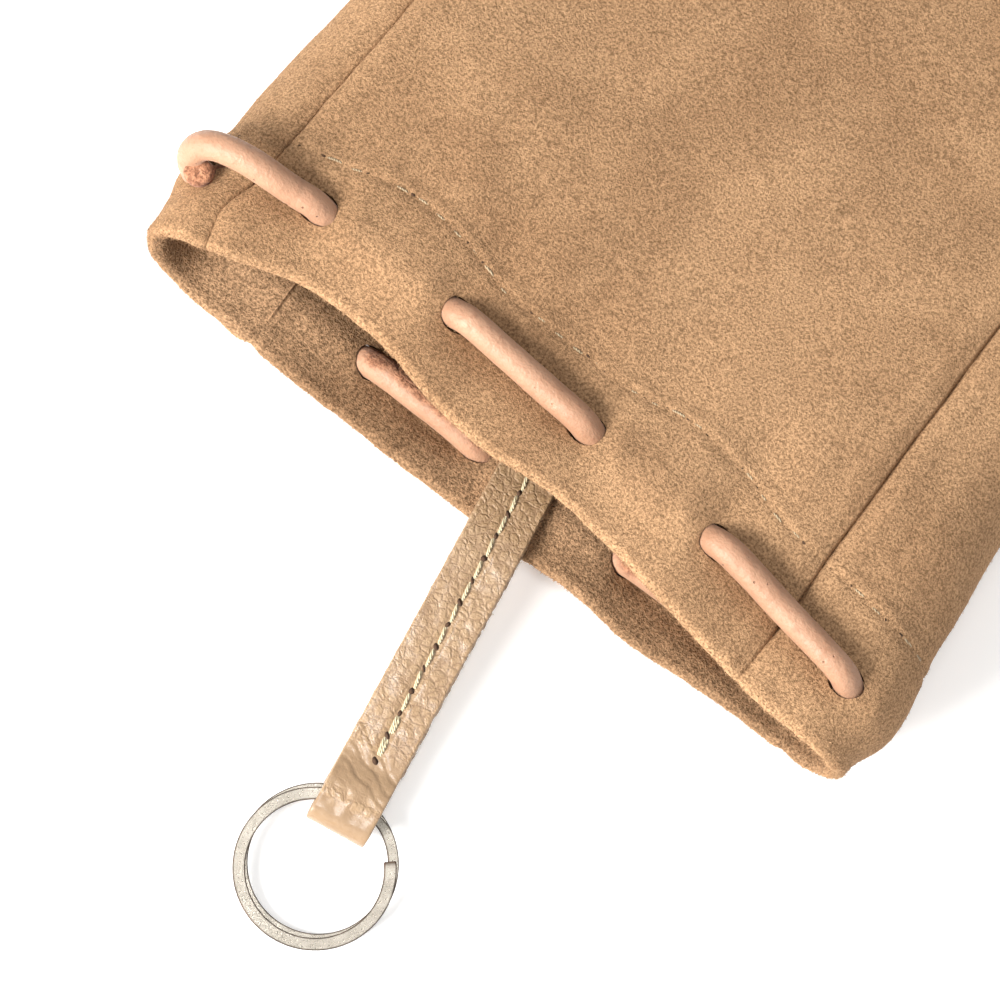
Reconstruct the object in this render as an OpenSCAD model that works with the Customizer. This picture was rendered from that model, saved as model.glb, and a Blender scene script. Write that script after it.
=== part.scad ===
// Drawstring pouch with a key strap and split ring, lying on its back panel.
// Millimetres. X runs along the mouth, Y from the mouth to the base, Z up.
// The origin is on the flat back face that the pouch rests on.

/* [Pouch] */
// Width across the pouch as it lies
pouch_w = 136; // [110:1:170]
// Length from the mouth's edge to the base
pouch_l = 165; // [130:1:220]
// Thickness of the filled-out body
body_t = 30; // [22:1:45]
// Thickness of the mouth, outer face to outer face
mouth_t = 24; // [20:1:34]
// Height of the mouth's back face above the surface, held up by the cord
mouth_lift = 5.3; // [5.3:0.1:8]
// Thickness of one layer of suede
skin = 1.3; // [0.9:0.1:1.8]
// Depth of the turned-in hem
hem_d = 23; // [18:1:30]
// Width of the front and back panels, seam to seam
panel_w = 106; // [90:1:116]
// How far the front panel sits to the left, and the back panel to the right
panel_shift = 6.8; // [0:0.1:10]
// Distance from the mouth's edge to the line where its front wall bends
bend_y = 52; // [40:1:70]

/* [Drawstring] */
// Diameter of the round leather cord
cord_d = 4.7; // [3:0.1:5.2]
// Distance from the mouth's edge to the row of cord holes
hole_row = 12.5; // [9:0.5:16]
// Radius of the punched holes
hole_r = 3.0; // [2.8:0.1:3.6]

/* [Key strap] */
// Width of the strap
strap_w = 10.4; // [8:0.2:14]
// Thickness of one strap layer
strap_t = 1.3; // [1:0.1:1.6]
// Length from the bend at the mouth to the end of the fold
strap_l = 51.6; // [40:0.2:80]
// Angle that the strap leans towards the right gusset
strap_lean = 9.1; // [0:0.1:15]
// Angle that the strap slopes down to the surface
strap_pitch = 6.65; // [5:0.05:8]

/* [Split ring] */
// Outside diameter
ring_od = 25.4; // [20:0.1:30]
// Radial width of the flat wire
ring_band = 2.3; // [1.8:0.1:2.8]
// Thickness of the two coils together
ring_t = 1.9; // [1.6:0.1:2.2]

/* [Hidden] */
$fn = 48;

// The origin lies this far behind the mouth's edge
origin_y = 110;
half_panel = panel_w / 2;
// Length round the body, and the four seams as distances round it from the front's middle
P0 = 2 * (pouch_w - body_t) + PI * body_t;
fl = -half_panel - panel_shift;
fr = half_panel - panel_shift;
br = P0 / 2 - half_panel - panel_shift;
bl = P0 / 2 + half_panel - panel_shift;
gap = 0.4;
mouth_end = bend_y - gap / 2;
cord_r = cord_d / 2;
cord_out = cord_r + 0.25;
cord_in = 2 * skin + cord_r + 0.25;
cord_bend = 2.9;
strap_x = 3.3;
strap_y = -4.5;
strap_z = mouth_lift + 2 * skin + 0.05 + strap_t;
thread = 0.7;

// Lower face, upper face and width of the pouch at y
function zb(y) = lookup(y, [
    [0, mouth_lift], [22, mouth_lift], [30, 0.84 * mouth_lift],
    [40, 0.46 * mouth_lift], [50, 0.15 * mouth_lift], [60, 0]
]);
function zt(y) = lookup(y, [
    [0, mouth_lift + mouth_t], [22, mouth_lift + mouth_t + 0.2], [50, body_t]
]);
function wd(y) = lookup(y, [[0, pouch_w], [60, pouch_w - 3]]);
function wall(y) = y <= hem_d ? 2 * skin : skin;

// A point s round the section at y, off inside its outer face
function wrap(q, p) = q > p / 2 ? q - p : q;
function on_loop(s, y, off) =
    let (t = zt(y) - zb(y))
    let (h = (wd(y) - t) / 2)
    let (p = 4 * h + PI * t)
    let (q = wrap(s * p / P0, p))
    let (a = abs(q))
    let (f = (a - h) / (t / 2) * 180 / PI)
    let (r = t / 2 - off)
    a <= h ? [q, y, zt(y) - off]
    : a <= h + PI * t / 2 ? [sign(q) * (h + r * sin(f)), y, (zt(y) + zb(y)) / 2 + r * cos(f)]
    : [sign(q) * (2 * h + PI * t / 2 - a), y, zb(y) + off];

function normal(s, y) = on_loop(s, y, -1) - on_loop(s, y, 0);
function unit(v) = v / norm(v);
function tangent(s, y) = unit(on_loop(s + 0.2, y, 0) - on_loop(s - 0.2, y, 0));

// Triangles that join rings of c points, with flat ends
function tube_faces(c, m) = [
    for (j = [0 : m - 2], i = [0 : c - 1])
        each [
            [j * c + i, j * c + (i + 1) % c, (j + 1) * c + i],
            [j * c + (i + 1) % c, (j + 1) * c + (i + 1) % c, (j + 1) * c + i]
        ]
];
function end_faces(n, base, flip) = [
    for (i = [0 : n - 2])
        let (a = base + i)
        let (b = base + i + 1)
        let (d = base + 2 * n - 1 - i)
        let (e = base + 2 * n - 2 - i)
        each flip ? [[a, e, b], [a, d, e]] : [[a, b, e], [a, e, d]]
];

// Closed strip of the wall over distances ss, at stations [y, outer offset, inner offset]
module strip(ss, st) {
    n = len(ss);
    m = len(st);
    pts = [
        for (k = st)
            each concat(
                [for (s = ss) on_loop(s, k[0], k[1])],
                [for (i = [n - 1 : -1 : 0]) on_loop(ss[i], k[0], k[2])]
            )
    ];
    polyhedron(
        points = pts,
        faces = concat(
            tube_faces(2 * n, m),
            end_faces(n, 0, true),
            end_faces(n, (m - 1) * 2 * n, false)
        )
    );
}

module place() {
    translate([0, -origin_y, 0]) children();
}

// Mouth stations carry the double wall of the hem, body stations the single wall
mouth_st = [
    for (y = [0, 11, hem_d, hem_d + 0.4, 31, 41, mouth_end])
        [y, 0, y <= hem_d ? 2 * skin : skin]
];
body_st = [for (y = [bend_y + gap / 2, 60, pouch_l]) [y, 0, skin]];
back_st = [
    for (y = [0, 22, hem_d, hem_d + 0.4, 30, 40, 50, 60, pouch_l])
        [y, 0, y <= hem_d ? 2 * skin : skin]
];

// Distances round the section where each wall is sampled
front_ss = [fl, fl + 2, fl + 4, fl + 6, fl + 8, fl + 10, fr];
front_mouth_ss = [fl + 0.3, fl + 2, fl + 4, fl + 6, fl + 8, fl + 10, fr - 0.3];
back_ss = [br, br + 2, br + 4, br + 6, br + 8, br + 10, bl];
right_ss = [fr, for (i = [0 : 12]) fr + 7 + i * (br - fr - 7) / 12];
left_ss = [bl, for (i = [0 : 12]) bl + 7 + i * (P0 + fl - bl - 7) / 12];
right_mouth_ss = [for (s = right_ss) s];
left_mouth_ss = [for (s = left_ss) s];

// Cord holes, as distances round the section, front to right gusset to back to left
front_holes = [-47.2, -24.8, 6.2, 28.2];
right_holes = [61.4, 88];
back_holes = [106, 131.6, 160.8, 182.4];
left_holes = [213.5, 232];

module punch(list) {
    for (s = list) {
        v = normal(s, hole_row);
        p = on_loop(s, hole_row, skin);
        translate(p) rotate([0, atan2(v[0], v[2]), 0]) cylinder(r = hole_r, h = 9, center = true);
    }
}

module front_mouth() {
    color([0.76, 0.6, 0.43]) place() difference() {
        strip(front_mouth_ss, mouth_st);
        punch(front_holes);
    }
}

module front_panel() {
    color([0.75, 0.59, 0.42]) place() strip(front_ss, body_st);
}

module back_panel() {
    color([0.68, 0.53, 0.37]) place() difference() {
        strip(back_ss, back_st);
        punch(back_holes);
    }
}

module left_gusset() {
    color([0.72, 0.56, 0.4]) place() strip(left_ss, body_st);
}

module right_gusset() {
    color([0.72, 0.56, 0.4]) place() strip(right_ss, body_st);
}

module left_gusset_mouth() {
    color([0.73, 0.57, 0.41]) place() difference() {
        strip(left_mouth_ss, mouth_st);
        punch(left_holes);
    }
}

module right_gusset_mouth() {
    color([0.73, 0.57, 0.41]) place() difference() {
        strip(right_mouth_ss, mouth_st);
        punch(right_holes);
    }
}

module base_panel() {
    outline = [
        for (i = [0 : 63])
            let (v = on_loop(i * P0 / 64, pouch_l, skin))
            [v[0], v[2]]
    ];
    color([0.7, 0.55, 0.39])
        translate([0, pouch_l - origin_y, 0])
            rotate([90, 0, 0]) linear_extrude(skin) polygon(outline);
}

// The cord's centre line: it dives through each hole, in at +1 and out at -1
function bend(s, d) =
    let (p = on_loop(s, hole_row, 0))
    let (n = normal(s, hole_row))
    let (t = tangent(s, hole_row))
    let (k = cord_bend * sqrt(0.5))
    let (way = [
        [-cord_bend, cord_out],
        [-cord_bend + k, cord_out - cord_bend + k],
        [0, cord_out - cord_bend],
        [0, cord_bend - cord_in],
        [cord_bend - k, cord_bend - cord_in - k],
        [cord_bend, -cord_in]
    ])
    [
        for (i = [0 : 5])
            let (w = d > 0 ? way[i] : [-way[5 - i][0], way[5 - i][1]])
            p + t * w[0] + n * w[1]
    ];
function over(s) = [on_loop(s, hole_row, -cord_out)];
function under(s) = [on_loop(s, hole_row, cord_in)];
route = concat(
    bend(front_holes[0], 1), bend(front_holes[1], -1),
    bend(front_holes[2], 1), bend(front_holes[3], -1),
    over(47), over(55),
    bend(right_holes[0], 1), under(69), under(75.5), under(82), bend(right_holes[1], -1),
    over(94), over(99.5),
    bend(back_holes[0], 1), bend(back_holes[1], -1),
    bend(back_holes[2], 1), bend(back_holes[3], -1),
    over(199), over(208),
    bend(left_holes[0], 1), under(222), bend(left_holes[1], -1),
    over(237.5), over(242), over(246), over(250)
);

module drawstring() {
    c = 10;
    m = len(route);
    pts = [
        for (i = [0 : m - 1])
            let (a = route[(i + m - 1) % m])
            let (b = route[(i + 1) % m])
            let (t = unit(b - a))
            let (n = [t[2], 0, -t[0]])
            let (h = norm(b - a))
            for (j = [0 : c - 1])
                route[i] + cord_r * (cos(36 * j) * n + sin(36 * j) * [0, 1, 0])
    ];
    color([0.93, 0.7, 0.52]) place() polyhedron(
        points = pts,
        faces = [
            for (i = [0 : m - 1], j = [0 : c - 1])
                let (k = (i + 1) % m)
                let (l = (j + 1) % c)
                each [
                    [i * c + j, k * c + j, i * c + l],
                    [i * c + l, k * c + j, k * c + l]
                ]
        ]
    );
}

// The strap's own frame: its length runs along -Y, its thickness along Z
module strap_plan() {
    translate([strap_x, strap_y - origin_y, strap_z]) rotate([0, 0, strap_lean]) children();
}

module strap_slope() {
    strap_plan() translate([0, 0, strap_t]) rotate([strap_pitch, 0, 0])
        translate([0, 0, -strap_t]) children();
}

fold_start = strap_l - 12.6;
eye = ring_t / 2 + 0.15;
ring_y = -(strap_l + 6.2);

module key_strap_root() {
    color([0.8, 0.64, 0.46]) strap_plan()
        translate([-strap_w / 2, 0.2, -strap_t]) cube([strap_w, 24, 2 * strap_t]);
}

module key_strap() {
    color([0.8, 0.64, 0.46]) strap_slope()
        translate([-strap_w / 2, -fold_start, -strap_t])
            cube([strap_w, fold_start - 0.2, 2 * strap_t]);
}

module key_strap_fold() {
    far = strap_l - eye - strap_t;
    out = [
        [fold_start, strap_t], [fold_start + 5, strap_t + eye],
        for (a = [90 : -15 : -90]) [far + (eye + strap_t) * cos(a), (eye + strap_t) * sin(a)],
        [fold_start + 5, -strap_t - eye], [fold_start, -strap_t]
    ];
    hollow = [
        [fold_start + 0.8, 0], [fold_start + 5.2, eye],
        for (a = [90 : -15 : -90]) [far + eye * cos(a), eye * sin(a)],
        [fold_start + 5.2, -eye]
    ];
    color([0.78, 0.62, 0.44]) strap_slope()
        translate([-strap_w / 2, 0, 0]) rotate([0, 90, 0]) rotate([0, 0, -90])
            linear_extrude(strap_w) difference() {
                polygon(out);
                polygon(hollow);
            }
}

module split_ring() {
    ro = ring_od / 2;
    ri = ro - ring_band;
    h = ring_t / 2;
    color([0.75, 0.74, 0.7]) strap_slope() translate([0, ring_y, 0]) difference() {
        rotate_extrude($fn = 96) polygon([
            [ri + 0.2, -h], [ro - 0.2, -h], [ro, 0.2 - h], [ro, -0.12], [ro - 0.35, 0],
            [ro, 0.12], [ro, h - 0.2], [ro - 0.2, h], [ri + 0.2, h], [ri, h - 0.2],
            [ri, 0.12], [ri + 0.35, 0], [ri, -0.12], [ri, 0.2 - h]
        ]);
        rotate([0, 0, 36]) translate([ri - 1, -0.2, 0.02]) cube([ring_band + 2, 0.4, 2]);
        rotate([0, 0, 24]) translate([ri - 1, -0.2, -2.02]) cube([ring_band + 2, 0.4, 2]);
    }
}

// Stitches of the strap: one row down the middle on both faces, doubled at its end
module strap_stitching() {
    color([0.78, 0.75, 0.6]) strap_slope() {
        for (i = [0 : 8], z = [-strap_t, strap_t]) {
            translate([0, -3.4 - 4 * i, z]) cube([thread, 3.3, 0.6], center = true);
        }
        for (z = [-strap_t, strap_t]) {
            translate([0.7, -35.6, z]) cube([thread, 3.3, 0.6], center = true);
        }
    }
}

module anchor_stitching() {
    color([0.78, 0.75, 0.6]) strap_plan() {
        for (y = [17.5, 22], i = [-1 : 1]) {
            translate([3 * i, y, strap_t]) cube([2.4, thread, 0.6], center = true);
        }
    }
}

module front_hem_stitching() {
    color([0.78, 0.75, 0.6]) place() for (i = [0 : 22]) {
        x = -48.5 + 4 * i;
        translate([x, hem_d - 2, zt(hem_d - 2)]) cube([3.3, thread, 0.6], center = true);
    }
}

module back_hem_stitching() {
    color([0.78, 0.75, 0.6]) place() for (i = [0 : 22]) {
        x = -41.5 + 4 * i;
        translate([x, hem_d - 2, zb(hem_d - 2)]) cube([3.3, thread, 0.6], center = true);
    }
}

// Seam threads lie along the inside of the walls, where the panels meet
seam_st = [for (y = [bend_y + 2, 60, pouch_l - 4]) [y, skin - 0.3, skin + 0.5]];
back_seam_st = [
    for (y = [hem_d + 1.5, 30, 40, 50, 60, pouch_l - 4]) [y, skin - 0.3, skin + 0.5]
];

module front_left_seam() {
    color([0.7, 0.62, 0.48]) place() strip([fl - 0.5, fl + 0.5], seam_st);
}

module front_right_seam() {
    color([0.7, 0.62, 0.48]) place() strip([fr - 0.5, fr + 0.5], seam_st);
}

module back_left_seam() {
    color([0.7, 0.62, 0.48]) place() strip([bl - 0.5, bl + 0.5], back_seam_st);
}

module back_right_seam() {
    color([0.7, 0.62, 0.48]) place() strip([br - 0.5, br + 0.5], back_seam_st);
}

module base_seam() {
    ss = [for (i = [0 : 60]) 2 + i * (P0 - 4) / 60];
    st = [for (y = [pouch_l - 2.4, pouch_l - 1.2]) [y, skin - 0.3, skin + 0.5]];
    color([0.7, 0.62, 0.48]) place() strip(ss, st);
}

front_panel();
front_mouth();
back_panel();
left_gusset();
right_gusset();
left_gusset_mouth();
right_gusset_mouth();
base_panel();
drawstring();
key_strap_root();
key_strap();
key_strap_fold();
split_ring();
strap_stitching();
anchor_stitching();
front_hem_stitching();
back_hem_stitching();
front_left_seam();
front_right_seam();
back_left_seam();
back_right_seam();
base_seam();
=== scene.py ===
import math

import bmesh
import bpy
import numpy as np
from mathutils import Matrix, Vector

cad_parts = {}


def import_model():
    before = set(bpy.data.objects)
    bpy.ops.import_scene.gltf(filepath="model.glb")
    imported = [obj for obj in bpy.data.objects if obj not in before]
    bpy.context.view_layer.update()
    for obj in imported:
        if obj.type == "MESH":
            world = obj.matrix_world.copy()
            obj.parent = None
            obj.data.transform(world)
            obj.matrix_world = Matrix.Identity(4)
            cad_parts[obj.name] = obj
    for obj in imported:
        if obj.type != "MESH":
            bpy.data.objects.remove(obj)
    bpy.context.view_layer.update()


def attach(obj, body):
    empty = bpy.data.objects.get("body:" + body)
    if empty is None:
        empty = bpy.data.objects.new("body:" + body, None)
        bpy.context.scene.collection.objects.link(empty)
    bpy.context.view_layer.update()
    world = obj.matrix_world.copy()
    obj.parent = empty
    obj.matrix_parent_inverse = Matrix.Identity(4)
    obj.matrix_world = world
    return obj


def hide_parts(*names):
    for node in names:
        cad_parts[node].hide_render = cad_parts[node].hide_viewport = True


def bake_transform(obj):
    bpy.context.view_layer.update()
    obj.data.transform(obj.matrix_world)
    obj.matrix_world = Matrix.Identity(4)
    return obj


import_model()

# Everything below is worked out in millimetres from the mouth's edge, and put in the row frame by put().
MM = 0.001
ORIGIN_Y = 110.0
W_BODY, T_BODY, LIFT, T_MOUTH, LENGTH = 136.0, 30.0, 5.3, 24.0, 165.0
# The body's perimeter. Seams and holes are places along it, to the right from the front's middle.
P0 = 2 * (W_BODY - T_BODY) + math.pi * T_BODY
SEAM_FL, SEAM_FR = -59.8, 46.2
SEAM_BR, SEAM_BL = P0 / 2 - 59.8, P0 / 2 + 46.2
SEAMS = [SEAM_FL % P0, SEAM_FR, SEAM_BR, SEAM_BL]
ROW = 12.5  # the row of holes
STITCH_Y = 21.0  # the hem's stitches
SKIN = 1.35  # one layer of suede
HEM_T = 2.8  # the turned hem
LIP_R = HEM_T / 2
CORD_R = 2.35
HINGE_Y = 52.0  # where the front of the mouth bends
FRONT_HOLES = [-47.2, -24.8, 6.2, 28.2]
RIGHT_HOLES = [61.4, 88.0]
BACK_HOLES = [106.0, 131.6, 160.8, 182.4]
LEFT_HOLES = [213.5, 232.0]
HOLES = FRONT_HOLES + RIGHT_HOLES + BACK_HOLES + LEFT_HOLES


def put(p):
    q = np.asarray(p, float) * MM
    q[..., 1] -= ORIGIN_Y * MM
    return q


def smooth(t):
    t = np.clip(t, 0, 1)
    return t * t * (3 - 2 * t)


# ---------------- noise
def lattice(i, seed):
    h = i[..., 0] * 374761393 + i[..., 1] * 668265263 + i[..., 2] * 2147483647 + seed * 974634777
    h = (h ^ (h >> 13)) * 1274126177
    h = h ^ (h >> 16)
    return ((h & 0xFFFF) / 32767.5) - 1.0


def vnoise(p, size, seed):
    """Smooth value noise between -1 and 1, with bumps about size millimetres apart."""
    q = np.asarray(p, float) / size
    i = np.floor(q).astype(np.int64)
    f = q - i
    f = f * f * (3 - 2 * f)
    out = np.zeros(q.shape[:-1])
    for dx in (0, 1):
        for dy in (0, 1):
            for dz in (0, 1):
                w = (
                    (f[..., 0] if dx else 1 - f[..., 0])
                    * (f[..., 1] if dy else 1 - f[..., 1])
                    * (f[..., 2] if dz else 1 - f[..., 2])
                )
                out += w * lattice(i + np.array([dx, dy, dz]), seed)
    return out


# ---------------- the pouch's surface
def ring_table(pairs, sigma):
    """Values at places round the mouth, as a smooth function of the place."""
    grid = np.arange(0, P0, 0.5)
    xs = np.array([a % P0 for a, _ in pairs])
    ys = np.array([b for _, b in pairs])
    order = np.argsort(xs)
    v = np.interp(grid, xs[order], ys[order], period=P0)
    k = np.exp(-0.5 * (np.arange(-20, 21) * 0.5 / sigma) ** 2)
    k /= k.sum()
    v = np.convolve(np.concatenate([v[-20:], v, v[:20]]), k, "valid")
    return lambda q: np.interp(np.asarray(q) % P0, grid, v, period=P0)


LIP = ring_table([
    (-76.5, -1.9), (-68, -1.9), (-60, -1.0), (-53.5, 1.2), (-47, 4.0), (-39.7, 5.2), (-31.6, 4.9),
    (-25.3, 3.9), (-19.5, 2.3), (-14, 1.8), (-8, 1.2), (-4, 1.1), (1, 1.8), (6, 2.3), (10.6, 2.2),
    (19.7, 1.3), (27.4, -0.4), (35, -1.7), (45, -3.0), (53.6, -3.9), (60, -4.1), (66, -3.8),
    (76.5, -2.6), (85, -1.9), (93, -1.3), (104, -1.6), (115, -2.2), (125, -2.9), (134, -2.1),
    (141, -2.4), (145, -2.8), (155, -2.4), (164, -2.8), (172, -2.7), (180, -2.2), (188, -2.6),
    (194, -2.5), (201, -2.5), (205, -2.3), (211, -1.9), (216, -1.7), (222, -2.1),
], 1.6)
ROW_SHIFT = ring_table([
    (-74, -1.8), (-66, -0.5), (-48, 3.2), (-26, 3.2), (-10, 2.2), (6, 1.2), (29, -0.1), (45, -2.6),
    (62, -5.6), (78, -5.4), (105, -5.2), (130, -5.2), (160, -5.4), (185, -5.0), (212, -3.6),
], 3.0)
STITCH_SHIFT = ring_table([
    (-76, -3.0), (-65.6, -2.4), (-58, 0.4), (-51.5, 1.6), (-45.5, 4.2), (-37, 5.3), (-29.4, 4.4),
    (-19.6, 2.1), (-13.7, 1.5), (-9.7, 2.0), (-3.5, 2.1), (2.7, 1.4), (6.5, 2.1), (13.6, 3.4),
    (18, 3.7), (26, 3.0), (29, 2.5), (34.6, 0.8), (38.7, -0.4), (46, -0.9), (52.6, -1.6),
    (59.4, -2.2), (76, -3.0), (153, -3.2), (200, -3.0),
], 1.8)


def along(y, ys, vs):
    """vs, one array per anchor in ys, joined smoothly along y."""
    out = vs[0] + 0 * y
    for a, b, va, vb in zip(ys, ys[1:], vs, vs[1:]):
        out = np.where(y > a, va + (vb - va) * smooth((y - a) / (b - a)), out)
    return out


def zb(y):
    return LIFT * (1 - smooth((y - 22) / 38))


def zt(y):
    return LIFT + T_MOUTH + (T_BODY - LIFT - T_MOUTH) * smooth(y / 50)


def wd(y):
    return along(y, [-3, 11, 24, 50, 60], [138.0, 139.0, 137.2, 133.8, 133.0])


def on_loop(s, y, off):
    t = zt(y) - zb(y)
    h = (wd(y) - t) / 2
    p = 4 * h + math.pi * t
    q = s * p / P0
    q = q - p * np.round(q / p)
    a = np.abs(q)
    sg = np.where(q < 0, -1.0, 1.0)
    f = (a - h) / (t / 2)
    r = t / 2 - off
    zc = (zt(y) + zb(y)) / 2
    back_x = sg * (2 * h + math.pi * t / 2 - a)
    x = np.where(a <= h, q, np.where(f <= math.pi, sg * (h + r * np.sin(f)), back_x))
    z = np.where(a <= h, zt(y) - off, np.where(f <= math.pi, zc + r * np.cos(f), zb(y) + off))
    return np.stack([x, y + 0 * x, z], -1)


def seam_gap(s):
    s = np.asarray(s) % P0
    d = np.full(s.shape, 1e3)
    for a in SEAMS:
        e = np.abs(s - a)
        d = np.minimum(d, np.minimum(e, P0 - e))
    return d


def weave(s):
    """-1 in the middle of an outside stretch of cord, +1 in the middle of an inside stretch."""
    s = np.asarray(s) % P0
    hs = sorted((h % P0, i) for i, h in enumerate(HOLES))
    out = np.zeros(s.shape)
    for (a, i), (b, _) in zip(hs, hs[1:] + [(hs[0][0] + P0, 0)]):
        # the cord goes in at even holes, so it runs inside after them
        side = 1.0 if i % 2 == 0 else -1.0
        for k in (0, P0):
            t = (s + k - a) / (b - a)
            out = np.where((t >= 0) & (t < 1), side * np.sin(np.pi * np.clip(t, 0, 1)) ** 0.45, out)
    return out


def hole_lip(s):
    """The wall's rim is pushed up on the side of each hole where the cord runs inside."""
    s = np.asarray(s, float)
    out = np.zeros(s.shape)
    for i, h in enumerate(HOLES):
        d = (s - h + P0 / 2) % P0 - P0 / 2
        d = d if i % 2 == 0 else -d
        out = out + 0.55 * np.exp(-(((d - 3.9) / 1.7) ** 2)) - 0.25 * np.exp(-(((d + 5.0) / 2.6) ** 2))
    return out


def relief(s, y):
    """How far the wall stands out of its plain shape."""
    p = np.stack([s, y, 0 * s + 0 * y], -1)
    wv = weave(s)
    g = np.exp(-(((y - ROW) / np.where(wv < 0, 4.6, 6.0)) ** 2))
    d = np.where(wv < 0, 1.5, 1.25) * wv * g
    d = d + hole_lip(s) * np.exp(-(((y - ROW) / 3.1) ** 2))
    d = d + 1.15 * vnoise(p, 42, 3) * smooth((y + 2) / 30) + 0.6 * vnoise(p, 17, 5)
    d = d + 0.12 * vnoise(p, 7.0, 7) + 0.05 * vnoise(p, 2.6, 9) + 0.05 * vnoise(p, 1.1, 11)
    # soft folds that run back from the mouth
    d = d + 0.6 * np.sin(s * 0.21 + 1.1) * np.exp(-(((y - 2) / 9) ** 2))
    d = d + 0.35 * np.sin(s * 0.37 + 0.4) * np.exp(-(((y - 26) / 8) ** 2))
    gap = seam_gap(s)
    near = (0.35 + 0.75 * smooth((y - 3) / 10)) * (0.85 + 0.3 * vnoise(p, 2.5, 13))
    d = d - near * np.exp(-((gap / 0.30) ** 2)) - 0.4 * np.exp(-((gap / 1.9) ** 2))
    d = d + 0.3 * np.exp(-(((gap - 3.2) / 1.8) ** 2))
    # turned hem, with its stitched channel
    d = d + 0.28 * (1 - smooth((y - STITCH_Y - 0.6) / 2.6))
    d = d - 0.34 * np.exp(-(((y - STITCH_Y) / 0.6) ** 2))
    # the walls round in towards the base seam
    e = np.clip((y - 157) / 8, 0, 1)
    return d - 2.6 * e * e


def surface(s, y, off):
    s = np.asarray(s, float)
    y = np.asarray(y, float)
    yv = y + along(y, [0, ROW, STITCH_Y, 50], [LIP(s), ROW_SHIFT(s), STITCH_SHIFT(s), 0 * s])
    yv = yv + 0.3 * np.exp(-((seam_gap(s) / 1.3) ** 2)) * (1 - smooth(y / 5))
    yv = yv + 0.10 * vnoise(np.stack([s, 0 * s, 0 * s], -1), 1.7, 15) * (1 - smooth(y / 4))
    # the front left seam bows out beside the loop of cord
    beside = (s - SEAM_FL + P0 / 2) % P0 - P0 / 2
    bow = -1.5 * np.exp(-(((y - 6.5) / 4.5) ** 2)) * np.exp(-((beside / 7.0) ** 2))
    p = on_loop(s + bow, yv, off - relief(s, y))
    p[..., 2] = np.maximum(p[..., 2], 0.02 + 0 * p[..., 2])
    return p


def normal_at(s, y):
    a = surface(s, y, 0.0)
    b = surface(s, y, 1.0)
    n = a - b
    return n / np.linalg.norm(n, axis=-1, keepdims=True)


def tangent_at(s, y):
    s, y, e = np.asarray(s, float), np.asarray(y, float), 1.5
    t = on_loop(s + e, y, 0.0) - on_loop(s - e, y, 0.0)
    return t / np.linalg.norm(t)


# ---------------- mesh helpers
def make(name, verts, faces, mat, body=None, smooth_faces=True):
    me = bpy.data.meshes.new(name)
    me.from_pydata([tuple(v) for v in put(verts)], [], [tuple(f) for f in faces])
    me.validate()
    me.update()
    ob = bpy.data.objects.new(name, me)
    bpy.context.scene.collection.objects.link(ob)
    me.materials.append(mat)
    if smooth_faces:
        me.polygons.foreach_set("use_smooth", [True] * len(me.polygons))
    if body:
        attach(ob, body)
    return ob


def outward(ob):
    """Turn every face's normal outwards."""
    bm = bmesh.new()
    bm.from_mesh(ob.data)
    bmesh.ops.recalc_face_normals(bm, faces=bm.faces)
    bm.to_mesh(ob.data)
    bm.free()


def sharpen(ob, degrees):
    """Shade the edges that bend more than this as sharp."""
    bm = bmesh.new()
    bm.from_mesh(ob.data)
    lim = math.radians(degrees)
    for e in bm.edges:
        e.smooth = not (len(e.link_faces) == 2 and e.calc_face_angle(0) > lim)
    bm.to_mesh(ob.data)
    bm.free()


def paint(ob, name, values):
    """A named number at each vertex, which the material reads."""
    at = ob.data.attributes.new(name, "FLOAT", "POINT")
    at.data.foreach_set("value", np.asarray(values, np.float32))


def grid_faces(rows, cols, base=0, wrap_rows=False, wrap_cols=False, flip=False):
    f = []
    for r in range(rows if wrap_rows else rows - 1):
        r2 = (r + 1) % rows
        for c in range(cols if wrap_cols else cols - 1):
            c2 = (c + 1) % cols
            q = (base + r * cols + c, base + r * cols + c2, base + r2 * cols + c2, base + r2 * cols + c)
            f.append(q[::-1] if flip else q)
    return f


def tube(points, radius, sides, closed=False):
    """Rings of a tube swept along points, with caps if it is open."""
    pts = np.asarray(points, float)
    n = len(pts)
    if closed:
        tan = np.roll(pts, -1, 0) - np.roll(pts, 1, 0)
    else:
        tan = np.gradient(pts, axis=0)
    tan /= np.linalg.norm(tan, axis=1, keepdims=True)
    up = np.array([0, 1.0, 0]) if abs(tan[0][1]) < 0.9 else np.array([1.0, 0, 0])
    frames = []
    for t in tan:
        up = up - t * (up @ t)
        up /= np.linalg.norm(up)
        frames.append((up, np.cross(t, up)))
    rad = np.broadcast_to(np.asarray(radius, float), (n,))
    a = np.arange(sides) * 2 * math.pi / sides
    verts = np.array([
        pts[i] + rad[i] * (np.cos(a)[:, None] * frames[i][0] + np.sin(a)[:, None] * frames[i][1])
        for i in range(n)
    ])
    faces = grid_faces(n, sides, wrap_rows=closed, wrap_cols=True)
    verts = verts.reshape(-1, 3)
    if not closed:
        faces += [tuple(range(sides)), tuple(range((n - 1) * sides, n * sides))[::-1]]
    return verts, faces


def join_parts(parts):
    verts, faces, k = [], [], 0
    for v, f in parts:
        verts.append(np.asarray(v))
        faces += [tuple(i + k for i in q) for q in f]
        k += len(v)
    return np.concatenate(verts), faces


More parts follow.
